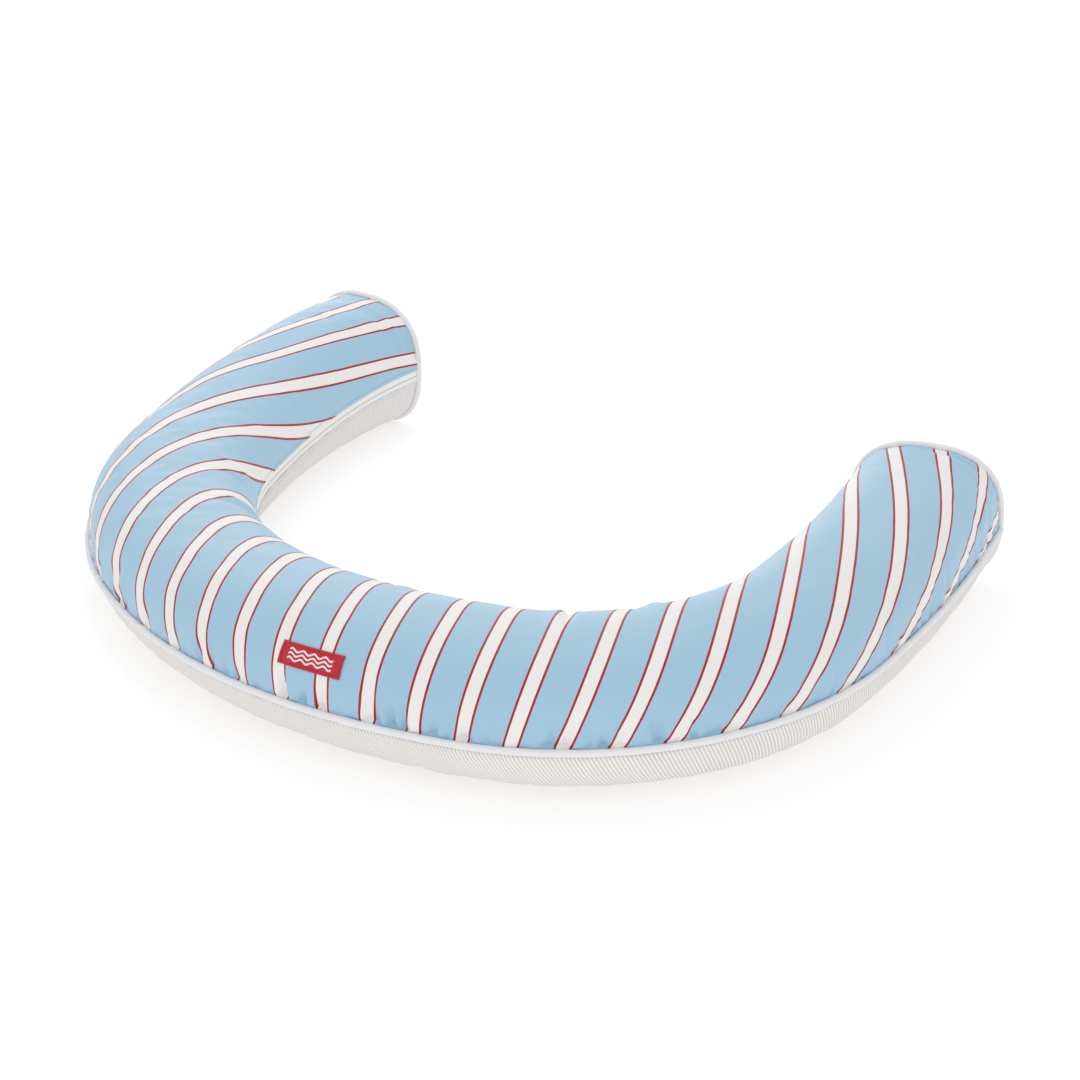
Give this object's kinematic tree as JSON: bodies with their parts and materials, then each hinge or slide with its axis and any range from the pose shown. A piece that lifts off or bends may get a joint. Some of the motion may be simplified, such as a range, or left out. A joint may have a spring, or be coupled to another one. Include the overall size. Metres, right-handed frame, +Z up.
{
  "type": "nursing pillow",
  "caption": "C-shaped stuffed nursing pillow: striped zipped cover with corded seams, mesh underside and a fibre-filled inner casing.",
  "frame": {"origin": "middle of the plan's bounding box, on the floor that the pillow lies on", "axes": "+Z up; +X across the C from the zipped left arm to the right arm; +Y from the rounded back of the C to its open side, where the two ends point"},
  "size_m": [1.041, 0.8473, 0.1661],
  "materials": {
    "striped_cloth": "light blue cotton sateen with white stripes edged in dark red, fine diagonal weave, soft sheen",
    "spacer_mesh": "off-white knitted spacer mesh with slanting ribs and open rows between them, matte",
    "piping_cloth": "cool white woven bias strip drawn tight over a cord, matte",
    "cord_core": "white braided cotton cord, matte",
    "zip_tape": "off-white woven zip tape, matte",
    "zip_coil": "white nylon coil, satin",
    "zip_metal": "white enamelled die-cast zinc, semi-gloss",
    "label_weave": "red damask woven label with a small white geometric motif, satin",
    "casing_cloth": "plain white cotton percale, matte",
    "fibre": "white hollow polyester fibre, matte"
  },
  "bodies": {
    "pillow": {"top_cover": "striped_cloth", "base_cover": "spacer_mesh", "end_disc_left": "striped_cloth", "end_disc_right": "striped_cloth", "outer_piping": "piping_cloth", "outer_piping_cord": "cord_core", "end_piping_left": "piping_cloth", "end_piping_left_cord": "cord_core", "end_piping_right": "piping_cloth", "end_piping_right_cord": "cord_core", "zip_tape_upper": "zip_tape", "zip_tape_lower": "zip_tape", "zip_coil_upper": "zip_coil", "zip_coil_lower": "zip_coil", "zip_bottom_stop": "zip_metal", "zip_top_stop_upper": "zip_metal", "zip_top_stop_lower": "zip_metal", "woven_label": "label_weave", "casing_upper": "casing_cloth", "casing_lower": "casing_cloth", "fibre_fill": "fibre"},
    "zip_slider": {"zip_slider": "zip_metal"},
    "zip_pull_tab": {"zip_pull_tab": "zip_metal"}
  },
  "joints": [
    {"name": "zip_travel", "type": "hinge", "parent": "pillow", "child": "zip_slider", "pos_m": [0.00238, 0.11783, 0.0652], "axis": [0, 0, 1], "range_deg": [-34, 0]},
    {"name": "pull_tab_flip", "type": "hinge", "parent": "zip_slider", "child": "zip_pull_tab", "pos_m": [-0.19906, -0.12239, 0.0652], "axis": [0, 0, 1], "range_deg": [-170, 0]}
  ]
}
